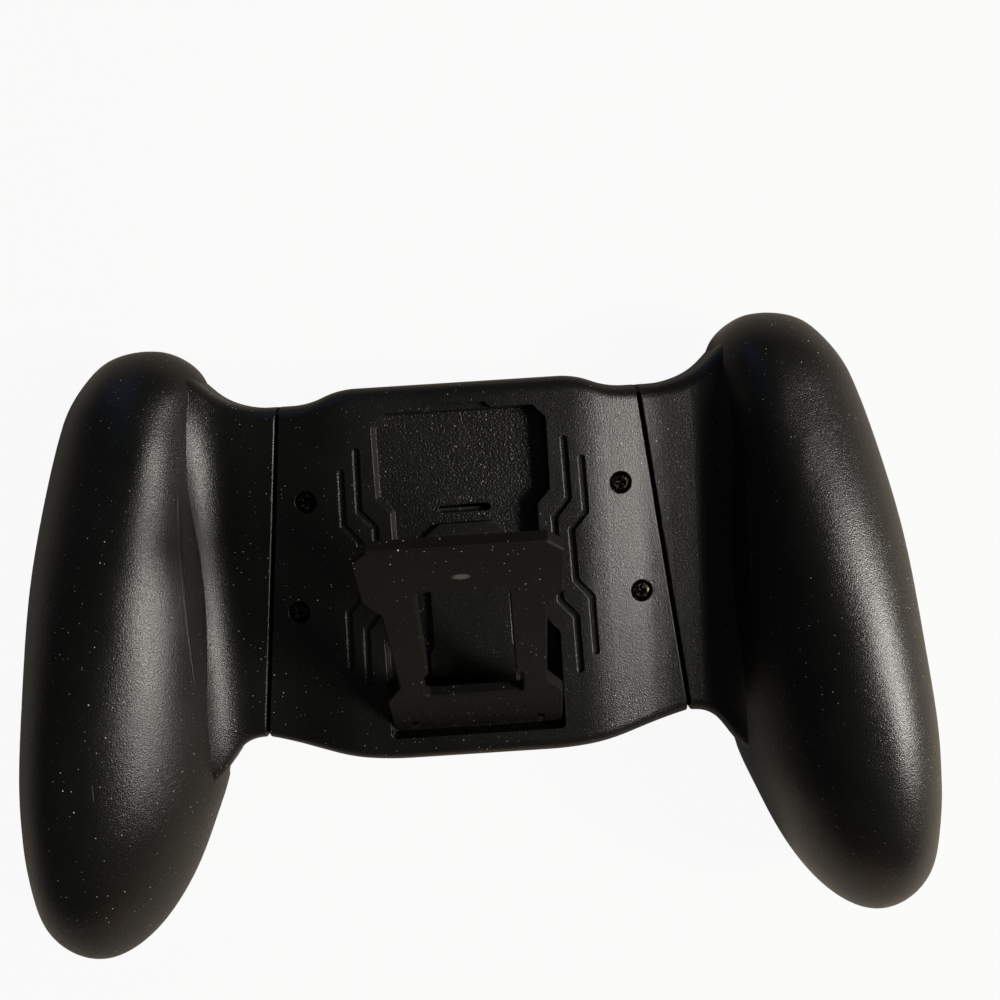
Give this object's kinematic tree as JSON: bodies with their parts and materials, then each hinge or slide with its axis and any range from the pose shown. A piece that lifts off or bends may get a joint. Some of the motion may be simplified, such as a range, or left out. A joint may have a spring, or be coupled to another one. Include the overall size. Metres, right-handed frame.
{
  "type": "mobile game controller",
  "caption": "Extendable grip controller for a phone: hand grips slide out on sprung frames from a middle housing with a hinged kickstand on its back.",
  "frame": {"origin": "centre of the object's footprint on the table, closed up and lying on its front", "axes": "+X from grip to grip, +Y towards the upper edge with the shoulders, +Z from the front up to the back"},
  "size_m": [0.1866, 0.125, 0.0694],
  "materials": {
    "cover_shell": "fine spark-eroded texture, satin black",
    "grip_shell": "fine spark-eroded texture, satin black",
    "front_shell": "fine spark-eroded texture, satin black",
    "kickstand": "fine texture, satin black",
    "slide_frame": "smooth moulded, dark grey",
    "bed_pad": "matt moulded rubber",
    "clamp_pad": "matt moulded rubber",
    "screw": "blackened steel, worn bright on the cross",
    "hinge_pin": "ground steel wire",
    "spring": "drawn spring wire"
  },
  "bodies": {
    "housing": {"rear_cover": "cover_shell", "front_tray": "front_shell", "bed_pad": "bed_pad", "stand_hinge_pin": "hinge_pin", "cover_screw_1": "screw", "cover_screw_2": "screw", "cover_screw_3": "screw", "cover_screw_4": "screw", "right_upper_spring": "spring", "right_lower_spring": "spring", "left_upper_spring": "spring", "left_lower_spring": "spring"},
    "stand": {"kickstand": "kickstand"},
    "right_grip": {"right_rear_shell": "grip_shell", "right_front_shell": "front_shell", "right_slide_frame": "slide_frame", "right_clamp_pad": "clamp_pad", "right_grip_screw_1": "screw", "right_grip_screw_2": "screw", "right_grip_screw_3": "screw", "right_wing_screw_1": "screw", "right_wing_screw_2": "screw"},
    "left_grip": {"left_rear_shell": "grip_shell", "left_front_shell": "front_shell", "left_slide_frame": "slide_frame", "left_clamp_pad": "clamp_pad", "left_grip_screw_1": "screw", "left_grip_screw_2": "screw", "left_grip_screw_3": "screw", "left_wing_screw_1": "screw", "left_wing_screw_2": "screw"}
  },
  "joints": [
    {"name": "kickstand_hinge", "type": "hinge", "parent": "housing", "child": "stand", "pos_m": [0, -0.0149, 0.024], "axis": [1, 0, 0], "range_deg": [-46.1, 28.9]},
    {"name": "right_grip_slide", "type": "slide", "parent": "housing", "child": "right_grip", "axis": [1, 0, 0], "range_m": [0, 0.021], "stiffness_N_per_m": 300, "springref_m": -0.012, "deforming": ["right_upper_spring", "right_lower_spring"]},
    {"name": "left_grip_slide", "type": "slide", "parent": "housing", "child": "left_grip", "axis": [-1, 0, 0], "range_m": [0, 0.021], "stiffness_N_per_m": 300, "springref_m": -0.012, "deforming": ["left_upper_spring", "left_lower_spring"]}
  ]
}
